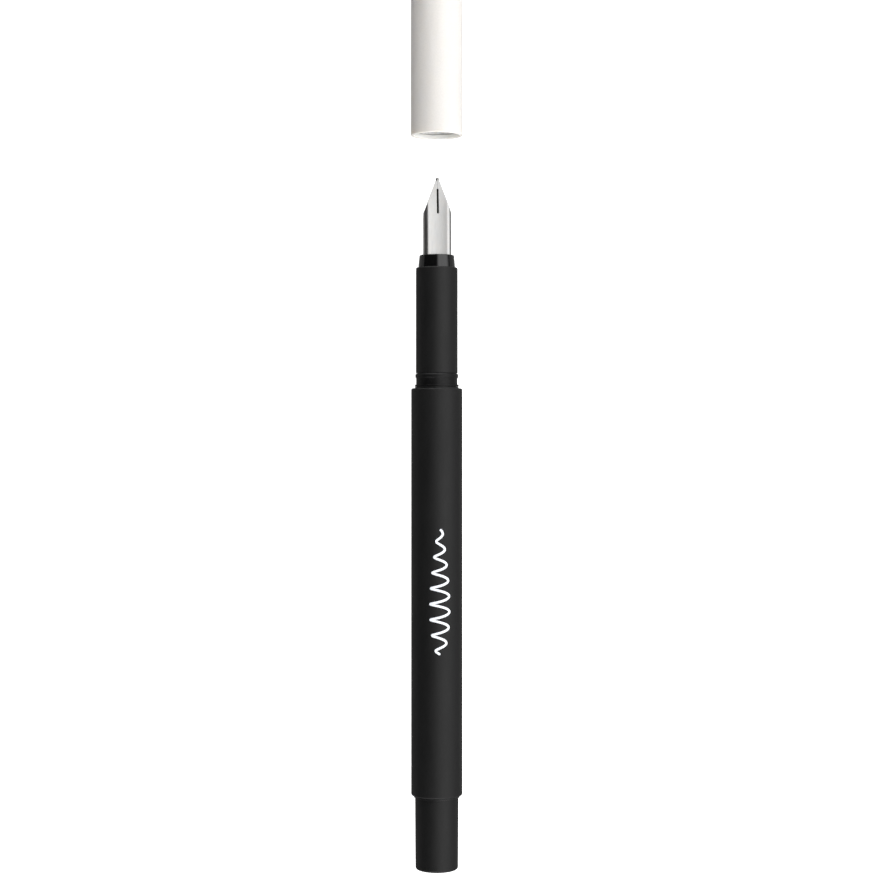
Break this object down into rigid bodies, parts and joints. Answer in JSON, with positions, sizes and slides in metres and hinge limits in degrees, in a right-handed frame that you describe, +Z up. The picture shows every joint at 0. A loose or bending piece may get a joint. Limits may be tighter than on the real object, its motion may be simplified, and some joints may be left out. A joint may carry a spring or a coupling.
{
  "type": "fountain pen",
  "caption": "Slim fountain pen with a screw-in grip section, slit nib and finned feed, a loose and a spare ink cartridge, and a pull-off cap laid in line with the nib.",
  "frame": {"origin": "on the table, under the middle of pen and cap", "axes": "+X along the pen from the tail end to the top of the cap, +Z up from the table, the nib's slit faces up"},
  "size_m": [0.1946, 0.0102, 0.0103],
  "materials": {
    "soft_black": "soft-touch black",
    "plain_black": "plain moulded black",
    "gloss_black": "polished black",
    "ring": "dark grey elastomer",
    "steel": "finely brushed",
    "cap_white": "soft-touch white",
    "cap_cream": "plain moulded cream",
    "clear_blue": "translucent polyethylene with blue ink behind it"
  },
  "bodies": {
    "barrel": {"barrel_shell": "soft_black", "barrel_tail_plug": "soft_black", "tail_ring": "ring", "barrel_thread_bush": "plain_black"},
    "seal_ring": {"seal_ring": "ring"},
    "section": {"section_core": "plain_black", "grip_sleeve": "soft_black", "nib_housing": "gloss_black", "nib": "steel", "nib_tipping": "steel", "feed": "plain_black"},
    "cap": {"cap_shell": "cap_white", "cap_liner": "cap_cream", "cap_top_plug": "cap_white"},
    "cartridge": {"cartridge_shell": "clear_blue"},
    "cartridge_ball": {"cartridge_ball": "steel"},
    "spare_cartridge": {"spare_cartridge_shell": "clear_blue", "spare_cartridge_ball": "steel"}
  },
  "joints": [
    {"name": "section_travel", "type": "slide", "parent": "barrel", "child": "seal_ring", "axis": [1, 0, 0], "range_m": [0, 0.00656]},
    {"name": "section_turn", "type": "hinge", "parent": "seal_ring", "child": "section", "pos_m": [-0.0012, 0, 0.00513], "axis": [1, 0, 0], "range_deg": [0, 1890]},
    {"name": "cap_pull", "type": "slide", "parent": "section", "child": "cap", "axis": [1, 0, 0], "range_m": [-0.0503, 0]},
    {"name": "cartridge_pull", "type": "slide", "parent": "section", "child": "cartridge", "axis": [1, 0, 0], "range_m": [-0.0068, 0]},
    {"name": "freed_ball_roll", "type": "slide", "parent": "cartridge", "child": "cartridge_ball", "axis": [1, 0, 0], "range_m": [-0.027, 0]},
    {"name": "spare_cartridge_slide", "type": "slide", "parent": "barrel", "child": "spare_cartridge", "axis": [1, 0, 0], "range_m": [-0.0005, 0.009]}
  ],
  "couplings": [
    {"joint": "section_turn", "follows": "section_travel", "rad_per_m": 5026.5}
  ]
}
